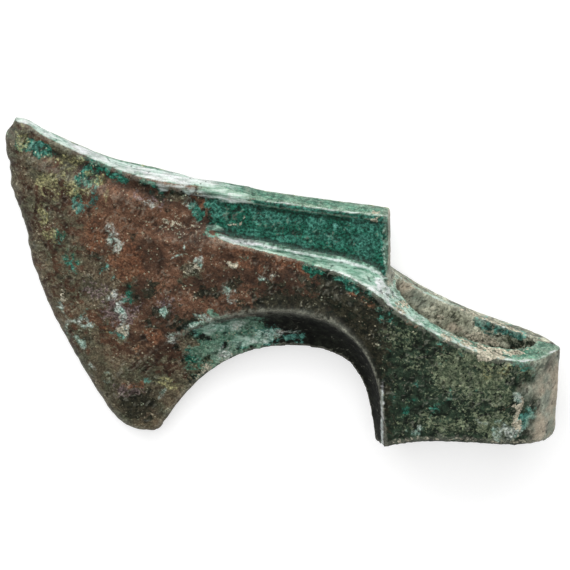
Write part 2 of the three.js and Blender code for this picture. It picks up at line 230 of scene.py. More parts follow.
# and it stands a little higher than in the solid: (a, rise)
LIFT = [
    (-136, 1.5), (-134.8, 1.9), (-133.6, 1.1), (-132.5, 1.9), (-130, 2.0), (-126, 1.4), (-118.5, 1.15),
    (-111, 0.4), (-104, 0.0), (-96, 0.3), (-89, 0.9), (-82, 1.2), (-75, 1.3), (-68, 0.8), (-60, 0.2),
]
moved[:, 1] += read_off(LIFT, a) * smoothstep(14, 0, spine_gap)

# the ledge is a shallow gutter: narrow, low beside the crest by (a, depth), with its outer edge standing up
PINCH, LIP_RISE = 0.2, 0.6
GUTTER = [(-66, 0.0), (-60, -0.5), (-52, -0.4), (-45, -0.3), (-36, -0.1), (-28, 0.5)]
over_ledge = smoothstep(-73, -63, a) * smoothstep(-24, -36, a)
outward = np.maximum(np.abs(moved[:, 2]) - 4.4, 0)
moved[:, 2] -= side * outward * PINCH * over_ledge * smoothstep(-9, -1, ledge_rise)
moved[:, 1] += over_ledge * LIP_RISE * smoothstep(5.5, 9.0, half) * smoothstep(-7, -1, ledge_rise)
moved[:, 1] -= (over_ledge * read_off(GUTTER, a) * smoothstep(8, 4.6, half)
                * smoothstep(-2, -0.8, ledge_rise) * smoothstep(5, 0.8, ledge_rise))
points = from_axe(moved)

# joints worn soft: the panel's start, the spine's joint with the blade, its far side, and the crest's foot
WORN_JOINTS = [
    (70, bell(a, -79.5, 7) * bell(u, 68, 7) * (half > 2)),
    (30, bell(a, -82, 10) * bell(spine_gap, 0, 5)),
    (90, 1.4 * bell(a, -84, 7) * bell(spine_gap, 0, 7) * (w < 0)),
    (50, bell(a, CREST_END, 3.4) * bell(u, RIM_START[1] + 1.5, 4.2) * (half < 6)),
]
for rounds, weight in WORN_JOINTS:
    points = soften(points, rounds, weight)

# the end of the crest meets the rim in a hollow curve
FOOT_ROUND = 4.2
foot = to_axe(points)
corner = np.stack([foot[:, 0] - CREST_END - FOOT_ROUND, foot[:, 1] - RIM_START[1] - FOOT_ROUND], axis=1)
away = np.hypot(corner[:, 0], corner[:, 1])
filled = (corner[:, 0] > -FOOT_ROUND - 1.2) & (corner[:, 1] > -FOOT_ROUND - 2.0) & (corner < 0).all(axis=1)
filled &= (away > FOOT_ROUND) & (np.abs(foot[:, 2]) < 5.2)
foot[filled, :2] -= (corner * (1 - FOOT_ROUND / np.maximum(away, 1e-6))[:, None])[filled]
points = from_axe(foot)

# corners worn round: the beak, the foot of the arch and the top of the crest's end
WORN_CORNERS = [
    (22, bell(a, BEAK[0] - 1, 5) * bell(u, BEAK[1] - 1, 6)),
    (6, bell(a, -25, 4) * bell(u, -5, 4)),
    (9, bell(a, CREST_END, 2.5) * bell(u, SPINE_END[1], 3.5)),
]
for rounds, weight in WORN_CORNERS:
    points = soften(points, rounds, weight)

# From here on, places and directions are those of the formed surface
normals = surface_normals()
for _ in range(3):
    normals = averaged(normals)
normals /= np.linalg.norm(normals, axis=1)[:, None]
here = to_axe(points)
a, u, w = here.T
half = np.abs(w)
na, nu, nw = turn_to_axe(normals).T
near = smoothstep(-0.35, 0.1, nw)
bore_share = (a / (BORE_HALF[0] + BORE_MARGIN)) ** 2 + (w / (BORE_HALF[1] + BORE_MARGIN)) ** 2
in_bore = (bore_share < 1) & (a > CREST_END)
upper = np.where(a < CREST_END, ledge_up(a), rim_up(a))
spine_gap = spine_up(a) - u
above_ledge = u - ledge_up(a)
ridge_gap = u - ridge_up(a)

# faces that look up: the whole of it, the flat of the spine, the ledge and the socket's rim
above_arch = smoothstep(8, 14, u)
top_face = smoothstep(0.45, 0.75, nu) * above_arch
turned = np.interp(a, (PANEL_START, -54), (0.34, 0.62))
flat_top = smoothstep(turned, turned + 0.22, nu) * above_arch
rim_face = top_face * (a > CREST_END - 2) * (u < 50)
begun = np.interp(a, (PANEL_START, -62), (0.74, 0.5))
ledge_face = (smoothstep(begun, begun + 0.26, nu) * smoothstep(-78, -71, a)
              * (a > -77) * (a <= CREST_END) * (u < spine_up(a) - 4))
spine_face = np.where(a > PANEL_START, flat_top, top_face) * (u > spine_up(a) - 2.5) * (a < CREST_END + 1)

# the sunken panel of the crest, and the crest's end
panel = (smoothstep(-80, -72, a) * (a < CREST_END + 1) * (u > ledge_up(a) - 1.2)
         * (half < 5.6) * (nu < 0.7) * (1 - spine_face))
panel = np.maximum(panel * smoothstep(-1.2, 1.0, above_ledge), panel * (nw > 0.35))
panel *= np.maximum(smoothstep(0.8, 3.0, spine_gap), smoothstep(-70, -56, a))
crest_end_face = smoothstep(0.5, 0.8, na) * (np.abs(a - CREST_END) < 1.5) * (u > RIM_START[1] - 2)

# how far behind the cutting edge, found level by level
LEVELS = np.arange(130) - 9.5
edge_at = np.full(len(LEVELS), np.nan)
for i, level in enumerate(LEVELS):
    row = (u > level - 1) & (u < level + 1)
    if row.any():
        edge_at[i] = a[row].min()
known = ~np.isnan(edge_at)
edge_gap = a - np.interp(u, LEVELS[known], edge_at[known])
cutting = np.exp(-((np.maximum(edge_gap, 0) / 6) ** 2)) * (a < BLADE_END)

in_cove = (smoothstep(0.2, -3, ridge_gap) * smoothstep(-74, -66, a) * smoothstep(-19, -24, a)
           * smoothstep(-13, -8, u) * (1 - in_bore))
socket_side = smoothstep(-34, -16, a)
butt = smoothstep(15.5, 25, a + 5 * cloud(here, 8, 65, 3)) * (1 - 0.5 * smoothstep(19, 23, u))
underside = smoothstep(-0.4, -0.75, nu)

# Relief: chips and wear of the cutting edge, each (height, depth inwards, half-width)
EDGE_WEAR = [
    (92.5, 0.9, 2.4), (86.0, -0.4, 4.5), (80.0, 0.5, 1.6), (77.0, 0.35, 1.2), (73.0, -0.45, 1.5),
    (66.0, 0.25, 2.4), (60.5, 1.0, 4.6), (56.5, 0.6, 1.8), (52.5, 0.45, 2.0), (33.0, 0.1, 4.5),
    (22.0, 0.4, 6.0), (9.5, 0.85, 6.0), (3.5, 0.3, 2.0), (43.5, 0.2, 1.4), (47.5, -0.15, 1.5),
    (28.0, 0.2, 1.0), (16.0, 0.25, 1.2),
]
shift = np.zeros_like(here)
worn = sum(depth * bell(u, height, width) for height, depth, width in EDGE_WEAR)
level_only = here * (0, 1, 0)
ripple = 0.16 * gradient_noise(level_only, 3.2, 11) + 0.08 * gradient_noise(here, 1.7, 12)
shift[:, 0] += cutting * (worn + ripple)
shift[:, 1] += cutting * smoothstep(2, -6, u) * 0.3 * (worn + ripple)

# broad waviness, corrosion and pits, along the surface's own direction
WAVE, GRAIN, CRUMB, CRUST, PIT_DEPTH = 0.20, 0.055, 0.05, 0.1, 0.17
RIM_ROUGH, BORE_ROUGH, LEDGE_ROUGH = 0.10, 0.2, 0.06
waves = WAVE * cloud(here, 26, 21, 2) * smoothstep(0, 14, edge_gap) * (1 - top_face * 0.6)
grain = GRAIN * cloud(here, 4.2, 23, 4, 0.6)
crumb = CRUMB * gradient_noise(here, 1.5, 29)
crusted = smoothstep(0.1, 0.5, cloud(here, 7, 33, 3))
raised = crusted * smoothstep(-0.2, 0.4, cloud(here, 2.2, 35, 2)) * CRUST
pits = -PIT_DEPTH * smoothstep(0.42, 0.8, cloud(here, 2.6, 41, 2, 0.4)) * (0.5 + 0.5 * near)
roughness = rim_face * RIM_ROUGH + in_bore * BORE_ROUGH + ledge_face * LEDGE_ROUGH
rough_rim = roughness * cloud(here, 2.4, 51, 3, 0.65)
depth = waves + grain + crumb + raised + pits + rough_rim
thin = smoothstep(0.0, 8.0, edge_gap) * 0.7 + 0.3
depth = depth * np.where(a < BLADE_END, thin, 1)

# the socket's end and foot are worn unevenly
END_WEAR, FOOT_WEAR = 0.25, 0.3
depth -= END_WEAR * smoothstep(0.6, 0.95, na) * (a > 26) * np.abs(cloud(here, 6, 61, 2))
depth -= FOOT_WEAR * underside * (a > -26) * np.abs(cloud(here, 3.5, 63, 2))
shift += turn_to_axe(normals) * depth[:, None]
points = points + turn_from_axe(shift) * MM
points[:, 2] = np.maximum(points[:, 2], 0)

# Patina, painted shade and painted highlights: each kind is a share per point, which the material breaks up
# with noise
KINDS = [
    "green", "teal", "mint", "ochre", "rust", "dark", "cream", "olive", "speck", "violet", "copper", "bare_and_highlight",
    "verdigris", "shade_and_dirt", "clay", "cove_shade", "grime", "film", "chalk_and_highlight", "seafoam",
]
layers = {kind: np.zeros(count) for kind in KINDS}

# Patches that the near side shows, by kind: a, u, w, reach along and up, turn in degrees, strength
PATCHES = {
    "ochre": [
        (-117.5, 74.0, 4.2, 3.6, 3.3, 0, 0.9), (-124.4, 76.1, 3.8, 2.7, 2.6, 0, 0.9),
        (-116.0, 83.0, 4.3, 2.1, 3.0, 0, 0.8), (-109.0, 76.4, 4.6, 2.4, 1.6, -30, 0.9),
        (-105.8, 71.7, 4.7, 1.2, 2.3, 0, 0.7), (-125.9, 64.3, 3.4, 1.8, 4.9, 0, 0.8),
        (-131.7, 88.0, 2.4, 1.5, 4.0, 10, 0.7), (-121.2, 80.8, 4.0, 2.7, 3.3, 0, 0.6),
        (-123.9, 58.6, 3.5, 1.5, 1.6, 0, 0.7), (-90.1, 9.7, 2.6, 2.7, 2.0, 0, 0.6),
        (-109.1, 26.9, 4.0, 2.1, 1.3, 0, 0.5), (-123.3, 73.9, 3.9, 2.7, 3.3, 0, 0.5),
        (-118.7, 83.1, 4.2, 2.4, 2.6, 0, 0.5), (8.0, 25.0, 13.9, 4.2, 3.0, -15, 0.3),
        (12.1, 24.1, 13.5, 3.0, 2.6, 0, 0.4),
    ],
    "green": [
        (-129.3, 86.4, 3.0, 3.9, 2.3, -20, 0.9), (-124.4, 85.3, 3.7, 3.6, 2.0, -25, 0.8),
        (-115.2, 71.2, 4.3, 1.2, 2.6, 0, 0.8), (-111.4, 76.9, 4.5, 3.0, 2.0, 0, 0.7),
        (-107.7, 81.4, 4.3, 9.0, 2.0, -27, 0.8), (-92.7, 76.1, 5.6, 6.0, 1.3, -20, 0.7),
        (-111.3, 78.2, 4.5, 2.4, 2.3, 0, 0.8), (-101.7, 76.8, 4.9, 2.4, 2.0, 0, 0.6),
        (-79.5, 68.1, 4.9, 1.8, 4.3, 0, 0.9), (-81.0, 20.0, 2.8, 3.6, 2.6, 0, 0.9),
        (-43.8, 53.6, 11.2, 5.1, 2.0, -25, 0.9), (-33.3, 50.0, 12.8, 3.6, 1.6, -25, 1.0),
        (-22.2, 40.6, 13.2, 6.0, 3.0, -30, 0.3), (-10.6, 38.3, 9.7, 7.8, 1.6, -38, 0.7),
        (-65.9, 55.6, 7.4, 1.5, 1.6, 0, 0.5), (-26.1, 48.2, 13.1, 2.4, 1.6, 0, 0.4),
        (19.4, 25.4, 11.5, 4.5, 1.6, 0, 0.6), (-11.5, 10.2, 13.0, 7.2, 4.6, 0, 0.3),
        (-120.5, 59.6, 3.9, 2.7, 3.0, 0, 0.4), (-117.8, 49.9, 3.9, 3.3, 4.3, 0, 0.3),
        (-101.3, 38.4, 4.5, 1.8, 5.3, -20, 0.3), (-72.3, 25.8, 2.9, 4.2, 3.0, 20, 0.5),
        (-77.6, 22.2, 2.8, 4.8, 2.6, 25, 0.6),
    ],
    "teal": [
        (-127.4, 86.3, 3.3, 2.4, 1.3, -20, 0.5), (-110.6, 71.5, 4.5, 1.8, 3.0, 0, 0.8),
        (-113.5, 68.1, 4.3, 2.4, 1.3, 0, 0.7), (-107.4, 48.6, 4.4, 1.2, 4.3, 25, 0.3),
        (-114.8, 65.8, 4.3, 1.5, 1.3, 0, 0.6), (-95.7, 12.2, 3.4, 2.4, 3.0, 0, 0.3),
        (14.2, 28.6, -9.1, 2.4, 1.6, -20, 0.6), (-68.4, 26.5, 2.7, 6.6, 3.3, 18, 0.9),
        (-62.2, 29.4, 3.2, 6.6, 2.3, 10, 0.7), (-114.8, 31.5, 3.6, 2.7, 2.0, 0, 0.6),
        (-105.6, 28.2, 4.2, 2.7, 2.0, 0, 0.4), (-120.0, 57.6, 3.9, 1.5, 2.0, 0, 0.4),
        (20.4, 7.3, 10.8, 2.4, 4.0, 0, 0.7), (17.1, 23.8, 12.4, 3.6, 1.6, 0, 0.3),
        (7.0, 29.5, -8.6, 1.8, 2.0, 0, 1.3), (11.0, 28.0, -7.8, 1.8, 2.0, 0, 1.3),
        (7.4, 25.8, -8.5, 1.8, 1.3, 0, 1.2), (16.5, 28.5, -6.6, 2.7, 1.6, -25, 1.2),
        (3.4, 28.1, -8.9, 1.8, 1.0, -20, 0.7), (-7.3, 32.6, -8.8, 1.5, 1.3, 0, 0.4),
        (-74.8, 24.0, 2.8, 3.9, 2.3, 20, 0.8), (-78.8, 28.2, 4.5, 2.7, 1.6, 30, 0.6),
        (-51.8, 26.3, 2.1, 4.8, 2.0, 0, 0.6), (-38.1, 62.7, 3.3, 4.8, 3.0, -10, 0.3),
        (-71.4, 27.3, 3.2, 6.0, 2.6, 15, 0.7), (-63.9, 25.2, 2.1, 7.2, 2.3, 12, 0.8),
        (14.2, 28.6, -9.1, 3.6, 2.3, -20, 1.3), (4.2, 29.8, -8.9, 1.8, 1.3, 0, 1.0),
    ],
    # painted highlights and pale chalk on the spine's top and the rim's edge
    "chalk_and_highlight": [
        (-89.4, 76.4, 5.9, 3.6, 1.2, -8, 0.7), (-83.4, 75.4, 4.3, 3.9, 1.3, -8, 0.8),
        (-1.5, 33.6, 11.5, 3.6, 1.0, -25, 0.5), (-1.5, 33.6, 12.1, 3.0, 0.8, -22, 0.7),
    ],
    "seafoam": [
        (-73.5, 61.8, 3.7, 2.7, 1.6, -20, 0.5), (-73.5, 30.9, 4.7, 2.4, 2.0, 0, 0.4),
        (-15.4, 37.6, -6.6, 2.4, 2.0, -30, 0.3), (-72.6, 30.9, 4.6, 5.7, 2.0, 12, 0.9),
        (-65.1, 25.5, 2.2, 6.0, 2.0, 12, 0.7),
    ],
    "grime": [
        (1.5, 32.6, -9.1, 2.7, 1.6, -20, 0.3), (23.3, 26.9, 6.6, 2.4, 2.0, 0, 0.3),
        (-82.0, 24.1, 3.7, 3.6, 4.0, 20, 0.9), (-81.7, 15.7, 2.3, 4.2, 2.6, 30, 0.9),
        (-85.0, 72.2, 6.0, 4.2, 2.0, -10, 0.9), (-81.6, 49.3, 5.6, 3.0, 2.6, 0, 0.9),
    ],
    "olive": [
        (3.2, 11.0, 14.0, 3.0, 2.6, 0, 0.5), (-104.6, 0.1, 2.2, 2.4, 3.0, 0, 0.4),
        (-20.1, 33.4, 12.8, 6.0, 3.3, 0, 0.6), (-13.2, 26.0, 13.3, 4.8, 4.0, -20, 0.3),
        (-2.1, 23.0, 14.0, 5.1, 5.9, 0, 1.2), (4.6, 29.5, 13.9, 5.1, 3.0, -15, 1.0),
        (3.4, 16.3, 14.0, 4.2, 4.0, -20, 0.6), (12.3, 15.5, 13.5, 4.2, 2.6, 20, 0.9),
        (8.6, 8.2, 13.9, 3.6, 2.0, 0, 0.9), (-5.4, 5.8, 13.7, 9.0, 2.6, 0, 0.7),
        (12.1, 24.1, 13.5, 3.6, 3.3, 0, 0.7), (-17.6, 4.2, 11.7, 3.6, 2.6, 0, 0.4),
        (-8.6, 16.5, 13.5, 3.0, 2.6, 0, 0.2), (-23.7, 35.0, 12.3, 3.6, 2.6, 0, 0.7),
        (-90.0, 13.3, 2.9, 4.2, 5.3, 0, 0.5), (-103.4, 20.9, 4.1, 7.8, 3.3, 0, 0.4),
        (-116.3, 49.1, 4.0, 3.0, 5.3, 0, 0.3), (-56.8, 61.6, 3.2, 3.6, 1.3, -10, 0.7),
        (-43.1, 68.5, 3.7, 3.6, 1.3, -8, 0.5), (-80.5, 17.1, 2.3, 4.2, 3.0, 25, 0.9),
        (11.6, 5.6, 13.6, 4.8, 4.0, 0, 1.2), (8.6, 22.1, 13.9, 5.4, 4.6, 0, 1.2),
        (20.3, 24.6, 11.0, 3.6, 2.6, 0, 0.9), (-1.3, 29.2, 14.0, 4.2, 2.3, -15, 0.9),
    ],
    "film": [
        (-15.1, 38.5, -6.7, 5.1, 2.6, -35, 0.9), (-9.7, 35.7, -8.4, 3.6, 2.3, -30, 0.5),
        (-2.7, 27.4, -9.1, 3.0, 1.6, -25, 0.8), (-19.5, 42.6, -4.6, 2.4, 2.0, -20, 1.0),
    ],
    "cream": [
        (6.8, 23.4, -8.5, 6.0, 1.2, -16, 1.1), (-120.8, 37.9, 3.0, 1.5, 2.6, 0, 0.4),
        (-68.5, 52.0, 6.7, 1.0, 1.1, 0, 1.4), (-67.8, 64.4, 3.2, 0.9, 0.8, 0, 1.0),
        (-64.5, 66.1, 3.2, 0.9, 0.8, 0, 1.0), (-26.4, 68.0, 4.0, 0.9, 1.3, 0, 0.8),
        (-1.6, 33.8, 10.4, 3.0, 1.3, -25, 1.0), (8.8, 30.1, 9.2, 6.0, 1.5, -12, 1.2),
        (17.5, 8.5, 12.2, 0.8, 5.6, 0, 1.1), (16.8, 11.9, 12.5, 1.1, 1.3, 0, 1.0),
        (21.8, 26.9, -9.2, 2.7, 0.8, -28, 1.0), (-8.2, 29.3, -8.7, 1.5, 1.0, -25, 0.9),
        (-103.1, 29.0, 4.3, 1.5, 1.0, 0, 0.8), (-17.0, 42.7, 8.0, 1.8, 1.3, -30, 0.7),
        (-78.4, 14.4, 1.9, 3.6, 1.0, 35, 0.6), (-86.4, 63.6, 5.6, 4.2, 3.3, 0, 0.3),
        (-81.0, 62.0, 5.9, 2.4, 2.6, 0, 0.3), (-81.3, 49.6, 5.6, 2.4, 1.6, 0, 0.5),
    ],
    "rust": [
        (-112.8, 71.0, 4.4, 1.1, 1.2, 0, 1.2), (-101.0, 50.9, 4.6, 5.1, 4.9, -30, 1.2),
        (-109.8, 60.2, 4.4, 4.5, 5.6, 0, 0.7), (-76.7, 70.1, 3.3, 3.3, 1.3, -10, 0.9),
        (-93.1, 27.0, 4.7, 2.4, 2.6, 0, 0.9), (-52.3, 55.2, 9.7, 10.2, 2.3, -20, 0.7),
        (-66.0, 58.9, 6.9, 4.2, 1.6, -15, 0.6), (-28.5, 45.3, 12.8, 5.1, 1.3, -25, 0.5),
        (-13.0, 39.1, 13.2, 3.0, 1.6, -30, 0.4), (-5.8, 33.2, 13.9, 2.4, 1.6, -20, 0.3),
        (12.4, 12.2, 13.4, 2.4, 2.3, 0, 0.3), (-63.4, 64.9, 3.2, 2.4, 1.3, 0, 0.5),
        (-38.6, 56.9, 3.3, 1.5, 1.3, 0, 0.8), (-61.6, 72.8, 2.1, 3.0, 0.8, -8, 0.7),
        (-109.0, 27.6, 4.0, 1.8, 1.3, 0, 0.9), (-100.7, 10.0, 3.5, 2.7, 1.3, 20, 0.6),
        (-97.1, 23.7, 4.5, 6.0, 6.6, 0, 0.3), (-65.1, 53.6, 7.3, 7.2, 3.3, -12, 0.4),
        (-33.0, 60.3, 3.3, 1.2, 0.7, 0, 0.5),
    ],
    "dark": [
        (12.4, 12.2, 13.4, 2.7, 2.3, 0, 1.2), (-67.3, 46.9, 6.8, 3.6, 2.0, 0, 0.6),
        (-98.0, 2.6, 2.6, 5.4, 5.3, 0, 0.8), (-98.2, 41.9, 4.6, 3.6, 3.3, 0, 0.6),
        (-108.6, 51.8, 4.4, 2.4, 4.6, 20, 0.6), (-93.4, 26.3, 4.7, 2.4, 2.3, 0, 0.4),
        (-34.2, 44.7, 11.8, 7.8, 2.6, -25, 0.7), (-50.3, 46.7, 9.2, 10.2, 2.0, -5, 0.6),
        (-76.8, 42.8, 6.0, 6.0, 2.3, -10, 0.6), (-92.8, 73.2, 5.5, 4.8, 1.3, -20, 0.6),
        (-76.6, 72.9, 3.9, 6.0, 0.8, -8, 0.8), (-125.0, 61.4, 3.4, 1.8, 4.0, 0, 0.5),
        (-104.5, 33.3, 4.3, 2.4, 4.0, 0, 0.4), (-19.2, 22.0, 12.2, 3.6, 9.2, 0, 0.6),
        (-10.2, 31.9, 13.7, 6.6, 3.0, -30, 0.5), (1.9, 13.9, 14.0, 6.6, 4.3, 0, 0.6),
        (12.4, 11.5, 13.4, 3.6, 3.0, 0, 0.6), (17.7, 28.0, 7.4, 4.2, 1.3, -10, 0.3),
        (19.9, 26.6, -3.7, 2.1, 1.0, 0, 1.2), (10.2, 24.2, -8.0, 4.8, 1.0, -10, 0.7),
        (-2.8, 30.1, 14.0, 4.8, 1.3, -20, 0.6), (-81.3, 48.0, 5.6, 3.6, 1.6, 0, 0.4),
        (-90.4, 47.3, 5.0, 3.6, 2.6, 0, 0.3), (-120.6, 42.3, 3.3, 2.4, 4.6, 10, 0.4),
        (-66.1, 41.2, 7.3, 6.0, 1.6, 5, 0.5), (1.8, 31.0, -9.1, 5.4, 1.3, -20, 0.6),
        (-16.6, 41.9, -9.6, 1.8, 1.0, -20, 0.5), (12.5, 27.6, -7.4, 3.0, 1.0, -20, 0.8),
        (-7.6, 36.4, -12.5, 4.2, 1.0, -25, 0.5), (4.9, 25.6, -8.7, 2.4, 1.0, -20, 0.7),
        (-87.7, 32.7, 5.1, 7.8, 4.6, 15, 0.6), (-95.1, 43.8, 4.8, 6.6, 4.0, -10, 0.4),
        (-76.8, 44.1, 5.9, 6.6, 2.6, -5, 0.6), (-99.1, 63.1, 4.8, 2.4, 4.6, 0, 0.3),
        (-63.4, 61.7, 3.2, 3.6, 1.0, -12, 0.5), (-29.2, 66.3, 3.2, 4.2, 2.0, -8, 0.5),
        (-48.5, 61.0, 3.3, 4.2, 1.3, -10, 0.5), (-39.5, 69.3, 3.9, 3.0, 1.0, -8, 0.5),
        (17.1, 27.2, -5.7, 3.0, 1.3, -25, 1.0), (1.8, 32.3, -9.1, 3.6, 2.0, -25, 0.6),
        (-111.2, 55.6, 4.3, 3.0, 2.3, 0, 0.5), (14.2, 28.3, -11.0, 3.0, 1.6, -20, 0.8),
    ],
    "mint": [
        (-104.1, 58.9, 4.6, 1.8, 4.3, 0, 0.7), (-105.3, 40.2, 4.4, 1.5, 2.6, -30, 0.8),
        (-102.7, 32.4, 4.4, 1.5, 4.3, 10, 0.8), (-115.5, 30.1, 3.4, 3.0, 2.0, 30, 0.6),
        (-115.2, 21.8, 2.8, 1.8, 2.3, 35, 0.8), (-89.5, 35.2, 5.0, 0.6, 2.6, -10, 0.8),
        (-76.6, 34.4, 6.2, 3.9, 1.0, -10, 0.8), (-86.0, 26.8, 5.1, 2.7, 1.3, 38, 0.8),
        (-80.0, 31.5, 6.0, 2.7, 1.0, 30, 0.8), (-70.4, 44.0, 6.7, 2.1, 1.6, 0, 0.6),
        (-69.5, 41.3, 6.9, 0.9, 2.0, 30, 0.8), (-79.7, 53.3, 5.7, 1.2, 2.3, 0, 0.8),
        (-95.0, 70.5, 5.2, 1.8, 1.3, 0, 0.6), (-82.0, 71.8, 6.3, 2.1, 2.3, 0, 0.6),
        (-85.4, 55.2, 5.4, 0.6, 2.3, -40, 0.5), (-91.1, 5.9, 2.3, 1.5, 1.3, 0, 0.7),
        (-63.9, 25.9, 2.3, 7.2, 2.0, 18, 0.8), (-54.1, 29.7, 3.1, 3.6, 1.3, 8, 0.7),
        (-72.5, 21.4, 2.1, 3.0, 2.0, 30, 0.6), (-108.4, 11.5, 3.2, 1.2, 2.6, 30, 0.6),
        (-112.4, 14.8, 2.7, 1.2, 2.0, 30, 0.4), (17.0, 15.2, 12.4, 1.5, 1.6, 0, 0.7),
        (-59.4, 48.3, 7.9, 1.5, 1.2, 0, 0.5), (-56.3, 49.9, 8.4, 1.2, 1.2, 0, 0.5),
        (-23.7, 58.4, 3.9, 0.5, 7.2, 0, 0.4), (-120.1, 26.7, 2.2, 1.2, 2.6, 10, 0.3),
        (-121.6, 34.0, 2.6, 0.9, 3.0, 10, 0.7), (8.0, 6.9, 13.9, 1.8, 1.0, 0, 0.5),
        (-13.9, 2.4, 12.4, 2.7, 1.6, 0, 0.4), (-72.0, 31.3, 4.7, 5.1, 1.6, 12, 1.0),
        (-76.3, 29.8, 4.7, 3.6, 1.3, 20, 0.6), (-65.4, 25.1, 2.2, 6.6, 1.6, 12, 0.7),
        (15.2, 3.4, 12.8, 3.9, 2.3, 0, 0.7), (14.9, 4.7, 12.9, 4.2, 2.6, 0, 0.6),
        (-58.3, 28.3, 2.7, 4.2, 1.6, 10, 0.7),
    ],
    "speck": [
        (-58.2, 49.1, 8.1, 4.2, 3.0, 0, 1.0), (-86.7, 62.9, 5.5, 3.9, 4.6, 0, 1.0),
        (-82.5, 50.2, 5.5, 3.3, 2.3, 0, 1.0), (-82.0, 42.4, 5.5, 3.3, 2.0, 0, 0.9),
        (-78.7, 56.3, 5.9, 2.4, 4.0, 0, 0.7), (-90.6, 39.1, 5.0, 5.4, 4.6, 0, 0.5),
        (-103.7, 11.3, 3.7, 6.6, 5.9, 0, 0.5), (-110.5, 37.9, 4.1, 6.6, 6.6, 0, 0.5),
        (-57.5, 49.8, 8.2, 4.8, 2.6, 0, 0.6), (-111.5, 54.3, 4.3, 6.6, 5.9, 0, 0.4),
        (-72.2, 47.1, 6.4, 4.5, 3.3, 0, 0.5), (-120.0, 73.2, 4.1, 7.2, 7.9, 0, 0.5),
        (-64.6, 44.5, 7.2, 12.0, 2.6, 0, 0.4), (-93.1, 63.5, 5.2, 7.8, 5.9, 0, 0.6),
        (-85.8, 49.3, 5.3, 4.8, 3.3, 0, 0.8), (-81.6, 49.3, 5.6, 3.6, 3.0, 0, 1.2),
        (-86.2, 72.1, 5.9, 4.2, 2.0, -10, 1.0), (-63.9, 26.6, 2.4, 9.0, 3.3, 12, 1.0),
    ],
    "verdigris": [
        (-71.5, 30.4, 4.2, 6.6, 2.6, 15, 1.0), (-66.3, 25.5, 2.3, 7.8, 3.0, 12, 1.0),
        (-77.6, 22.2, 2.8, 4.5, 3.6, 20, 0.8), (-74.1, 35.9, 6.4, 4.2, 1.3, -10, 0.6),
    ],
    "violet": [
        (-103.6, 34.3, 4.4, 4.8, 5.3, 0, 0.8), (-102.4, 7.1, 3.2, 3.6, 3.3, 0, 0.7),
        (-90.7, 37.5, 5.0, 5.4, 3.3, 0, 0.5), (-92.8, 71.6, 5.4, 6.0, 2.0, -10, 0.4),
        (-110.4, 41.2, 4.2, 3.6, 3.3, 0, 0.5),
    ],
}

# Patches of the far side and the foot, which can't be seen: the same kinds, scattered over their zones, as
# kind, number, span of a, span of u, size, strength
SCATTER = [
    ("ochre", 10, (-130, -90), (40, 90), 4, 0.8), ("teal", 9, (-130, -60), (0, 88), 3, 0.8),
    ("green", 12, (-120, 20), (0, 60), 5, 0.7), ("rust", 12, (-120, 10), (0, 60), 5, 0.7),
    ("mint", 16, (-125, -30), (-2, 60), 2, 0.9), ("dark", 20, (-125, 25), (-5, 70), 5, 0.6),
    ("olive", 14, (-30, 18), (0, 38), 5, 0.8), ("speck", 14, (-125, -50), (0, 75), 6, 0.7),
    ("cream", 8, (-70, 25), (0, 60), 1.3, 1.0), ("violet", 6, (-120, -80), (0, 70), 4, 0.6),
]
# a patch reaches through the thickness, is full inside its core, and its outline wanders
THROUGH, CORE, BORDER, WANDER = 7, 0.35, 1.75, 2.6
loose = here + WANDER * np.stack([cloud(here, 6, 71 + k, 3, 0.6) for k in range(3)], axis=1)


def add(kind, share):
    """Lays on a layer, be it patina, painted shade or painted highlight, where it isn't there as strongly
    yet.
    """
    layers[kind] = np.maximum(layers[kind], share)


def patch(kind, place, reach, angle, strength, where):
    d = loose - np.array(place)
    c, s = math.cos(math.radians(angle)), math.sin(math.radians(angle))
    along, up = d[:, 0] * c + d[:, 1] * s, d[:, 1] * c - d[:, 0] * s
    far = np.sqrt((along / reach[0]) ** 2 + (up / reach[1]) ** 2 + (d[:, 2] / THROUGH) ** 2)
    add(kind, strength * smoothstep(BORDER, CORE, far) * where)


for kind, rows in PATCHES.items():
    for *place, reach_along, reach_up, angle, strength in rows:
        patch(kind, place, (reach_along, reach_up), angle, strength, near)

draw = np.random.default_rng(SEED)
for kind, number, (a0, a1), (u0, u1), size, strength in SCATTER:
    for _ in range(number):
        place = (draw.uniform(a0, a1), draw.uniform(u0, u1), -6 if a1 < -40 else -10)
        reach = size * draw.uniform(0.5, 1.6, 2)
        patch(kind, place, reach, draw.uniform(0, 180), strength, 1 - near)

mottle = cloud(here, 9, 81, 4, 0.6)
fine = cloud(here, 3, 83, 3, 0.6)

# metal, the green of the panel, and the socket's green and olive
layers["copper"] = smoothstep(-32, -52, a + 5 * mottle) * (1 - panel) * (1 - in_bore)
add("green", panel * (1.05 + 0.25 * mottle))
add("green", 0.28 * socket_side * smoothstep(0.0, 0.7, mottle + fine * 0.5))
add("olive", 0.3 * socket_side * smoothstep(-0.1, 0.6, fine))

# the arch's inner wall: verdigris on the left, painted shade in the rest
cove_left = (smoothstep(0, -3, ridge_gap) * smoothstep(-92, -76, a)
             * smoothstep(-52, -64, a + 3 * fine) * near)
add("verdigris", (0.6 + 0.3 * fine) * cove_left)
layers["verdigris"] *= smoothstep(-16, -9, u - CROWN[1])
layers["copper"] *= 1 - cove_left
layers["rust"] *= 1 - 0.8 * cove_left
unpatched = 1 - 0.7 * np.clip(layers["teal"] + layers["mint"], 0, 1)
layers["cove_shade"] = 1.25 * in_cove * unpatched * (1 - 0.85 * cove_left)
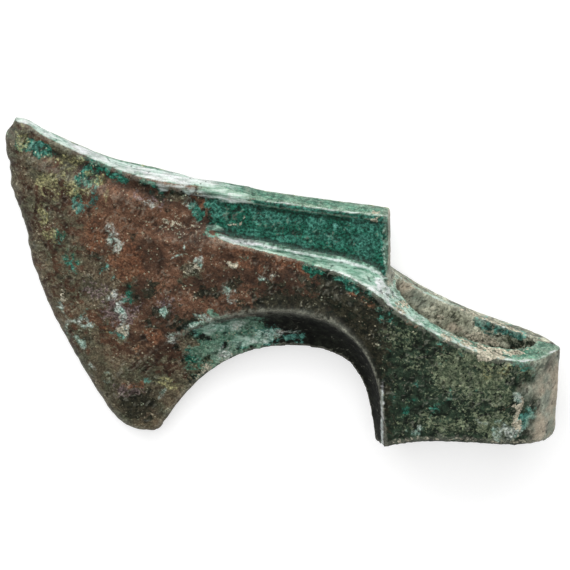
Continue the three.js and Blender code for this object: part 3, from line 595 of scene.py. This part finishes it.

# painted shade on the neck above the arch and under the ledge and rim, dark mottles, and a painted shadow
# line with green below it under the spine
neck_shade = smoothstep(13, 2.5, ridge_gap) * smoothstep(-80, -58, a) * (a < CREST_END + 6) * (ridge_gap > -1)
below_top = smoothstep(-56, -38, a) * smoothstep(-12, -22, a) * smoothstep(-1, -5, u - upper)
neck_shade = np.maximum(neck_shade, below_top * 0.9)
add("dark", 0.85 * neck_shade * (1 - top_face))
layers["dark"] *= 1 - 0.8 * smoothstep(-28, -16, a)
drifts = smoothstep(0.1, 0.7, cloud(here, 14, 91, 3))
add("grime", (a < -60) * (1 - top_face)
    * (0.62 * smoothstep(44, 8, edge_gap) + 0.75 * smoothstep(24, 0, u) + 0.5 * drifts))
add("dark", 0.34 * smoothstep(0.1, 0.8, mottle) * (a < -40))
spine_shadow = bell(u, spine_up(a) - 2.2, 1.3) * smoothstep(-24, -28, a) * (1 - top_face)
add("dark", 0.8 * spine_shadow)
add("green", 0.7 * bell(u, spine_up(a) - 3.8, 1.6) * smoothstep(0, 0.5, mottle))

# pale verdigris on the faces that look up, with cream along the inside of the rim
rim_near = smoothstep(-3, 1, w)
pale = np.clip(spine_face + ledge_face + rim_face * (0.1 + 0.9 * rim_near), 0, 1)
add("verdigris", np.clip(pale * 1.3, 0, 1.2))
inner_rim = (rim_face * smoothstep(socket_half(a) - 1.6, socket_half(a) - 3.4, half)
             * smoothstep(-10, 4, a) * smoothstep(24, 14, a))
add("cream", 0.8 * inner_rim * near)

# painted highlight along the spine's near edge, a whitish coat on the spine's top, and a seafoam cast on
# ledge and rim
facing = smoothstep(0.1, 0.4, nw)
at_edge = np.where(a > PANEL_START, bell(nu, turned + 0.12, 0.13), bell(nu, 0.7, 0.22))
edge_highlight = at_edge * facing * above_arch
add("chalk_and_highlight", np.clip(edge_highlight * (0.75 + 0.35 * fine), 0, 1))
add("chalk_and_highlight", spine_face * 0.86 * smoothstep(-58, -84, a) * smoothstep(-3.5, -0.5, w))
add("seafoam", ledge_face * near * (0.75 + 0.3 * mottle) * smoothstep(-74, -66, a))
add("seafoam", 0.6 * rim_face * near * smoothstep(8, -8, a))

# painted highlights on the ledge, along its outer edge and its root beside the crest, and a pale coat on
# its tip
below_spine = (a > -79) & (a < CREST_END + 1) & (u < spine_up(a) - 4)
layers["chalk_and_highlight"] = np.where(below_spine, 0, layers["chalk_and_highlight"])
ledge_edge_highlight = (bell(nu, 0.7, 0.14) * (a > -74) * (a < CREST_END + 1) * near
              * smoothstep(5.2, 7, w) * (np.abs(u - upper) < 2.6))
ledge_edge_highlight *= smoothstep(-74.5, -67, a)
add("chalk_and_highlight", ledge_edge_highlight * (0.2 + 0.7 * smoothstep(-50, -34, a) + 0.3 * fine))
ledge_root_highlight = bell(half, 5.0, 0.8) * ledge_face * near * smoothstep(-75, -68, a)
add("chalk_and_highlight", ledge_root_highlight * (0.85 + 0.4 * fine))
add("chalk_and_highlight", ledge_face * near * smoothstep(-54, -66, a) * 0.8)

# painted highlight on the rim's outer edge and on the spine's joint with the blade
rim_edge_highlight = (rim_face * smoothstep(socket_half(a) - 2.0, socket_half(a) - 0.9, half)
             * near * smoothstep(20, 8, a))
add("chalk_and_highlight", 0.85 * rim_edge_highlight)
joint_highlight = (bell(spine_gap, 1.6, 1.5) * smoothstep(-84, -78, a) * smoothstep(-56, -70, a)
                * smoothstep(0.2, 0.5, nw))
add("chalk_and_highlight", joint_highlight * (0.6 + 0.4 * fine))
joint_zone = smoothstep(3.2, 1.0, spine_gap) * smoothstep(-84, -76, a) * smoothstep(-54, -70, a) * facing
add("seafoam", 0.9 * joint_zone)
add("ochre", 0.34 * spine_face * (a > -100) * smoothstep(-0.5, -3, w))

# the socket: chalky near rim, clay in the hole and on the far rim, film on its end and on the crest's end
far_rim = rim_face * (1 - rim_near)
add("mint", rim_face * near * (0.3 + 0.4 * fine) * (1 - 0.85 * smoothstep(8, 22, a)))
add("film", butt * (1 - 0.85 * rim_face) * (1 - in_bore))
# the clay thins towards the butt end, leaving the hole darker there: painted shade
layers["clay"] = in_bore * (0.86 + 0.3 * fine) * (1 - 0.45 * smoothstep(2, 14, a))
add("clay", 0.6 * far_rim)
add("grime", 0.6 * far_rim + 0.22 * in_bore)
add("olive", 0.5 * far_rim)
add("cream", crest_end_face * 0.25)
add("film", crest_end_face * 0.8)

# cream on edges that look down or back, pale specks, painted highlight along the ridge and bare metal on
# the cutting edge
lip = smoothstep(-0.35, -0.8, nu) * (a < CREST_END) + smoothstep(0.5, 0.85, na) * (a < -50)
add("cream", 0.45 * np.clip(lip, 0, 1) * (1 - in_cove))
layers["speck"] = np.maximum(layers["speck"], 0.42 + 0.25 * mottle) * (1 - panel * 0.8)
layers["speck"] *= 1 - 0.75 * bell(ridge_gap, -0.5, 4) * smoothstep(-78, -70, a)
layers["speck"] *= 1 - 0.4 * socket_side
layers["speck"] *= 1 - 0.7 * ledge_face - 0.7 * spine_face
ridge_highlight = bell(ridge_gap, -0.9, 2.6) * smoothstep(-86, -70, a) * (a < CREST_END + 1)
layers["bare_and_highlight"] = np.maximum(0.7 * ridge_highlight, 0.35 * cutting)
# painted highlight on the arch's edge below the crest's end
arch_edge_highlight = bell(a, CREST_END - 0.8, 0.55) * smoothstep(22, 12, u) * near
add("chalk_and_highlight", 0.9 * arch_edge_highlight)
foot_edge = bell(nu, -0.3, 0.22) * smoothstep(4, 1, u) * near * (a > -20)
add("cream", 0.4 * foot_edge)

# painted shade and dirt gathered in the hollows, of one step and of six, and painted shade along the line
# under the spine's flat top
wide = points
for _ in range(6):
    wide = averaged(wide)
hollow = ((averaged(points) - points) * normals).sum(1) / MM
hollow_wide = ((wide - points) * normals).sum(1) / MM
layers["shade_and_dirt"] = np.clip(0.5 + 7 * hollow + 2.2 * hollow_wide, 0, 1)
under_edge_shade = (bell(nu, turned - 0.34, 0.24) * (spine_gap < 4) * (a > -78) * (a < CREST_END - 1.5)
              * smoothstep(0.3, 0.6, nw))
add("shade_and_dirt", 0.84 * under_edge_shade)

mesh.vertices.foreach_set("co", points.ravel())
STORED = {f"patina_{k // 4 + 1}": KINDS[k:k + 4] for k in range(0, len(KINDS), 4)}
for name, kinds in STORED.items():
    table = np.ones((count, 4), dtype=np.float32)
    for k, kind in enumerate(kinds):
        table[:, k] = np.clip(layers[kind], 0, 1.3)
    attribute = mesh.attributes.new(name, "FLOAT_COLOR", "POINT")
    attribute.data.foreach_set("color", table.ravel())
mesh.polygons.foreach_set("use_smooth", [True] * len(mesh.polygons))
mesh.update()

# Material
material = bpy.data.materials.new("bronze_patina")
material.use_nodes = True
tree = material.node_tree
shader = tree.nodes["Principled BSDF"]
link = tree.links.new

# A dark and a light tone of each patina, painted shade and painted highlight, as the eye sees them, 0 to
# 255
TONES = {
    "ground": ((9, 17, 11), (46, 63, 48)),
    "olive": ((50, 62, 46), (118, 127, 101)),
    "deep brown": ((56, 42, 34), (92, 66, 50)),
    "warm brown": ((88, 62, 47), (122, 90, 70)),
    "grey grime": ((48, 50, 40), (92, 94, 74)),
    "tan grime": ((70, 60, 48), (112, 104, 84)),
    "violet": ((74, 62, 60), (128, 112, 112)),
    "dark": ((16, 19, 13), (52, 50, 38)),
    "rust": ((76, 50, 36), (120, 82, 60)),
    "dull clay": ((58, 64, 50), (142, 146, 126)),
    "pale clay": ((112, 114, 96), (206, 206, 184)),
    "deep malachite": ((7, 42, 32), (34, 98, 80)),
    "pale malachite": ((14, 58, 47), (74, 136, 120)),
    # the painted shade of the arch's inner wall
    "cove_shade": ((4, 6, 3), (30, 33, 26)),
    "teal": ((16, 52, 46), (84, 140, 128)),
    "verdigris": ((30, 80, 62), (90, 138, 116)),
    "dull verdigris": ((62, 94, 76), (116, 144, 126)),
    "grey film": ((112, 122, 108), (160, 164, 148)),
    "buff film": ((144, 136, 118), (190, 178, 158)),
    "ochre": ((78, 80, 54), (158, 154, 110)),
    "seafoam": ((78, 122, 100), (146, 184, 164)),
    "pale seafoam": ((112, 150, 132), (178, 202, 188)),
    "green highlight": ((142, 168, 156), (200, 212, 206)),
    "grey highlight": ((160, 164, 162), (212, 212, 214)),
    "green chalk": ((84, 128, 114), (178, 202, 190)),
    "grey chalk": ((116, 126, 116), (196, 202, 196)),
    "cream": ((104, 104, 88), (188, 180, 160)),
    "bare_and_highlight": ((56, 60, 52), (104, 106, 96)),
}
UMBER, GRIT, DIRT_AND_SHADE, WORN, PIT = (44, 34, 27), (22, 24, 18), (22, 22, 17), (176, 176, 160), (26, 24, 20)
GREEN_CRUMB, BUFF_CRUMB = (150, 160, 136), (186, 176, 150)


def tone(r, g, b):
    """A colour given as the eye sees it, 0 to 255."""
    line = [v / 255 for v in (r, g, b)]
    return tuple(v / 12.92 if v < 0.04045 else ((v + 0.055) / 1.055) ** 2.4 for v in line) + (1.0,)


def node_of(kind, **settings):
    made = tree.nodes.new(kind)
    for key, value in settings.items():
        setattr(made, key, value)
    return made


def put(socket, value):
    if isinstance(value, bpy.types.NodeSocket):
        link(value, socket)
    else:
        socket.default_value = value


def maths(operation, *values, clamp=False):
    made = node_of("ShaderNodeMath", operation=operation, use_clamp=clamp)
    for socket, value in zip(made.inputs, values):
        put(socket, value)
    return made.outputs[0]


def times(first, *others):
    for other_one in others:
        first = maths("MULTIPLY", first, other_one)
    return first


def fit(value, low, high, to_low=0.0, to_high=1.0):
    made = node_of("ShaderNodeMapRange", interpolation_type="SMOOTHSTEP")
    for socket, v in zip(made.inputs, (value, low, high, to_low, to_high)):
        put(socket, v)
    return made.outputs[0]


def mix(share, one, two):
    made = node_of("ShaderNodeMix", data_type="RGBA")
    put(made.inputs[0], share)
    put(made.inputs[6], one)
    put(made.inputs[7], two)
    return made.outputs[2]


place = node_of("ShaderNodeTexCoord").outputs["Object"]


def noise_at(size, detail=4.0, rough=0.6, distortion=0.0, where=None):
    """Noise, about 0 to 1, with features of that size in millimetres."""
    made = node_of("ShaderNodeTexNoise")
    link(where or place, made.inputs["Vector"])
    made.inputs["Scale"].default_value = 1 / (size * MM)
    made.inputs["Detail"].default_value = detail
    made.inputs["Roughness"].default_value = rough
    made.inputs["Distortion"].default_value = distortion
    return made.outputs["Fac"]


def dots_at(size):
    made = node_of("ShaderNodeTexVoronoi")
    link(place, made.inputs["Vector"])
    made.inputs["Scale"].default_value = 1 / (size * MM)
    return made.outputs["Distance"]


share = {}
for name, kinds in STORED.items():
    read = node_of("ShaderNodeAttribute", attribute_name=name)
    split = node_of("ShaderNodeSeparateColor")
    link(read.outputs["Color"], split.inputs[0])
    for kind, channel in zip(kinds, list(split.outputs) + [read.outputs["Alpha"]]):
        share[kind] = channel

# streaky noise is drawn out along the spine and the ledge
drawn_out = node_of("ShaderNodeMapping")
link(place, drawn_out.inputs["Vector"])
drawn_out.inputs["Rotation"].default_value = (0, 0, 0.24)
drawn_out.inputs["Scale"].default_value = (0.22, 1, 1)
streaky = noise_at(1.3, 4, 0.6, 0.2, drawn_out.outputs[0])
broad = noise_at(7, 5)
mid = noise_at(2.4, 5, 0.65)
tiny = noise_at(0.8, 3, 0.6)
other = noise_at(1.5, 4, 0.65, 0.6)
patchy = noise_at(3.2, 8, 0.72, 0.3)


def edge_of(kind, noise, spread, soft=0.12, level=0.5):
    """How much of a layer shows, be it patina, painted shade or painted highlight: its share, broken up by
    noise.
    """
    broken = maths("MULTIPLY_ADD", noise, 4 * spread, maths("SUBTRACT", share[kind], 2 * spread))
    return maths("MULTIPLY", fit(broken, level - soft, level + soft), fit(share[kind], 0.03, 0.3))


def blend_of(kind, noise, spread, low, high):
    """How much of a layer shows, be it patina or painted highlight, with a wide soft border."""
    return fit(maths("MULTIPLY_ADD", noise, spread, maths("SUBTRACT", share[kind], spread / 2)), low, high)


def tones(name, noise, low=0.38, high=0.62):
    dark, light = TONES[name]
    return mix(fit(noise, low, high), tone(*dark), tone(*light))


# The colour, from the metal outwards
deep_brown, warm_brown = tones("deep brown", mid, 0.36, 0.64), tones("warm brown", other, 0.36, 0.64)
brown = mix(fit(noise_at(13, 4, 0.6), 0.36, 0.62),
            mix(0.45, deep_brown, tone(*UMBER)),
            mix(fit(broad, 0.36, 0.6), deep_brown, warm_brown))
grime = mix(fit(broad, 0.36, 0.64), tones("grey grime", other, 0.34, 0.66),
            tones("tan grime", tiny, 0.34, 0.66))
clay = mix(fit(broad, 0.36, 0.62), tones("dull clay", other, 0.34, 0.68),
           tones("pale clay", mid, 0.34, 0.68))
malachite = mix(fit(broad, 0.42, 0.6), tones("deep malachite", tiny, 0.34, 0.68),
                tones("pale malachite", tiny, 0.34, 0.74))
verdigris = mix(fit(broad, 0.4, 0.6), tones("verdigris", other, 0.34, 0.68),
                tones("dull verdigris", other, 0.34, 0.68))
film = mix(fit(noise_at(11, 3), 0.4, 0.6), tones("grey film", patchy, 0.3, 0.7),
           tones("buff film", mid, 0.3, 0.7))
seafoam = mix(fit(broad, 0.36, 0.62), tones("seafoam", streaky, 0.32, 0.68),
              tones("pale seafoam", streaky, 0.32, 0.68))
# the colour of the painted highlights and the pale chalk
highlight_colour = mix(fit(broad, 0.36, 0.64), tones("green highlight", streaky, 0.3, 0.7),
                tones("grey highlight", streaky, 0.3, 0.7))
chalk = mix(fit(broad, 0.42, 0.6), tones("green chalk", tiny, 0.34, 0.68),
            tones("grey chalk", tiny, 0.34, 0.68))
foam = times(edge_of("seafoam", streaky, 0.5, 0.3), 0.92)
chalk_and_highlight = blend_of("chalk_and_highlight", streaky, 1.4, 0.2, 0.95)
powder = fit(noise_at(0.62, 3, 0.7), 0.4, 0.58, 0.35, 1.0)
olive_share = times(edge_of("olive", tiny, 1.1), fit(noise_at(2.1, 4, 0.7), 0.34, 0.54, 0.5, 1.0))
ochre_grain = fit(noise_at(0.9, 3, 0.7), 0.42, 0.58, 0.3, 1.0)
ochre_share = times(edge_of("ochre", patchy, 1.1, 0.34), ochre_grain, 0.95)

COATS = [
    (olive_share, tones("olive", other, 0.36, 0.68)),
    (edge_of("copper", mid, 0.7), brown),
    (times(edge_of("grime", patchy, 0.9, 0.2), 0.85), grime),
    (times(edge_of("violet", other, 0.9), 0.8), tones("violet", tiny)),
    (edge_of("dark", patchy, 0.9, 0.2), tones("dark", other, 0.34, 0.66)),
    (times(edge_of("rust", patchy, 0.8, 0.2), 0.8), tones("rust", tiny, 0.34, 0.66)),
    (edge_of("clay", mid, 0.5), clay),
    (edge_of("green", patchy, 0.8, 0.18), malachite),
    (edge_of("cove_shade", mid, 0.4), tones("cove_shade", mid, 0.36, 0.68)),
    (times(edge_of("teal", patchy, 0.9, 0.2), 0.88), tones("teal", patchy, 0.36, 0.68)),
    (edge_of("verdigris", mid, 0.5), verdigris),
    (blend_of("film", patchy, 0.7, 0.05, 0.95), film),
    (ochre_share, tones("ochre", tiny, 0.34, 0.66)),
    (foam, seafoam),
    (times(chalk_and_highlight, 0.92), highlight_colour),
    (times(edge_of("mint", patchy, 0.9, 0.34), powder, 0.92), chalk),
    (edge_of("cream", other, 0.9), tones("cream", tiny, 0.32, 0.68)),
    (times(blend_of("bare_and_highlight", mid, 0.8, 0.1, 0.9), 0.8), tones("bare_and_highlight", mid, 0.3, 0.74)),
]
colour = tones("ground", mid, 0.34, 0.7)
for shown, coat in COATS:
    colour = mix(shown, colour, coat)

# crumbs, grit, painted shade and dirt in the cavities, wear on what stands out, and pits
crumbs = times(fit(dots_at(0.95), 0.38, 0.22), fit(noise_at(1.9, 3, 0.7), 0.47, 0.6))
crumbs = times(crumbs, edge_of("speck", other, 0.9, 0.3), maths("SUBTRACT", 1.0, share["cove_shade"], clamp=True))
colour = mix(times(crumbs, 0.8), colour, mix(fit(broad, 0.4, 0.6), tone(*GREEN_CRUMB), tone(*BUFF_CRUMB)))
grit = times(fit(dots_at(1.3), 0.3, 0.14), fit(other, 0.5, 0.64))
pit_marks = fit(tiny, 0.36, 0.26)
colour = mix(times(grit, 0.75), colour, tone(*GRIT))
colour = mix(times(fit(share["shade_and_dirt"], 0.55, 0.95), 0.6), colour, tone(*DIRT_AND_SHADE))
colour = mix(times(fit(share["shade_and_dirt"], 0.42, 0.1), 0.16), colour, tone(*WORN))
colour = mix(times(pit_marks, 0.55), colour, tone(*PIT))

# uneven tint, calmer on the pale faces
tint = times(fit(patchy, 0.3, 0.7, 0.62, 1.36), fit(noise_at(0.5, 2, 0.6), 0.32, 0.68, 0.68, 1.3))
calm = times(maths("MAXIMUM", maths("MAXIMUM", chalk_and_highlight, foam), times(share["film"], 0.7)), 0.7)
tint = maths("MULTIPLY_ADD", calm, maths("SUBTRACT", 1.0, tint), tint)
shaded = node_of("ShaderNodeVectorMath", operation="SCALE")
link(colour, shaded.inputs[0])
link(tint, shaded.inputs["Scale"])
link(shaded.outputs[0], shader.inputs["Base Color"])

crust = maths("MAXIMUM", edge_of("mint", patchy, 0.9, 0.22), edge_of("cream", other, 0.9))
crust = maths("MAXIMUM", crust, edge_of("ochre", patchy, 1.1, 0.25))
dullness = maths("ADD", times(maths("MAXIMUM", crust, share["cove_shade"]), 0.6), mid)
link(fit(dullness, 0.3, 1.1, 0.46, 0.95), shader.inputs["Roughness"])
link(fit(maths("SUBTRACT", share["copper"], crust), 0, 1, 0.0, 0.12), shader.inputs["Metallic"])
shader.inputs["Specular IOR Level"].default_value = 0.18

height = maths("MULTIPLY_ADD", mid, 0.5, times(tiny, 0.35))
height = maths("ADD", height, times(crust, 0.2))
height = maths("ADD", height, times(crumbs, 0.25))
height = maths("SUBTRACT", height, times(pit_marks, 0.25))
bump = node_of("ShaderNodeBump")
bump.inputs["Strength"].default_value = 0.7
bump.inputs["Distance"].default_value = 0.00035
link(height, bump.inputs["Height"])
link(bump.outputs["Normal"], shader.inputs["Normal"])
mesh.materials.append(material)

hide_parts("axe_head")
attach(body, "root")

# Stage: a plain pale floor, a soft light from behind the crest and a softer one overhead
FLOOR_REACH = 6.0
FLOOR_GREY = (0.6, 0.6, 0.6, 1)
FLOOR_GLOW = 0.52
SKY_GLOW = 0.12
WHITE = (1, 1, 1, 1)
UP = Vector((0, 0, 1))
floor_mesh = bpy.data.meshes.new("floor")
corners = [(x * FLOOR_REACH, y * FLOOR_REACH, 0) for x, y in ((-1, -1), (1, -1), (1, 1), (-1, 1))]
floor_mesh.from_pydata(corners, [], [(0, 1, 2, 3)])
floor = bpy.data.objects.new("floor", floor_mesh)
bpy.context.scene.collection.objects.link(floor)
pale_floor = bpy.data.materials.new("pale_floor")
pale_floor.use_nodes = True
floor_sockets = pale_floor.node_tree.nodes["Principled BSDF"].inputs
floor_sockets["Base Color"].default_value = FLOOR_GREY
floor_sockets["Roughness"].default_value = 0.9
floor_sockets["Emission Color"].default_value = WHITE
floor_sockets["Emission Strength"].default_value = FLOOR_GLOW
floor_mesh.materials.append(pale_floor)


def look(place, aim, up):
    """Stands at a place and looks along minus Z at the aim."""
    back = (place - aim).normalized()
    right = up.cross(back).normalized()
    over = back.cross(right)
    turned = Matrix((right, over, back)).transposed().to_4x4()
    turned.translation = place
    return turned


def add_lamp(name, kind, place, **settings):
    lamp = bpy.data.lights.new(name, kind)
    for key, value in settings.items():
        setattr(lamp, key, value)
    made = bpy.data.objects.new(name, lamp)
    made.matrix_world = look(Vector(place), Vector((0, 0, 0)), UP)
    bpy.context.scene.collection.objects.link(made)


add_lamp("behind_crest", "AREA", (-0.05, 0.75, 0.42), shape="RECTANGLE", size=1.2, size_y=0.5, energy=6.0)
add_lamp("overhead", "SUN", (-0.15, 0.55, 0.9), energy=2.6, angle=math.radians(70))
world = bpy.data.worlds.new("studio")
bpy.context.scene.world = world
world.use_nodes = True
sky_sockets = world.node_tree.nodes["Background"].inputs
sky_sockets["Color"].default_value = WHITE
sky_sockets["Strength"].default_value = SKY_GLOW
bpy.context.scene.view_settings.view_transform = "Standard"

# Camera: over the crest's side, at the photograph's angle
TILT = math.radians(21.7)
DISTANCE = 0.95
FOCAL_MM, SENSOR_MM = 199.4, 36
TARGET = Vector((0.00011, -0.00100, 0.00820))
lens = bpy.data.cameras.new("camera")
lens.lens = FOCAL_MM
lens.sensor_width = SENSOR_MM
camera = bpy.data.objects.new("camera", lens)
towards_camera = Vector((0, math.sin(TILT), math.cos(TILT)))
camera.matrix_world = look(TARGET + towards_camera * DISTANCE, TARGET, Vector((0, 1, 0)))
bpy.context.scene.collection.objects.link(camera)
bpy.context.scene.camera = camera
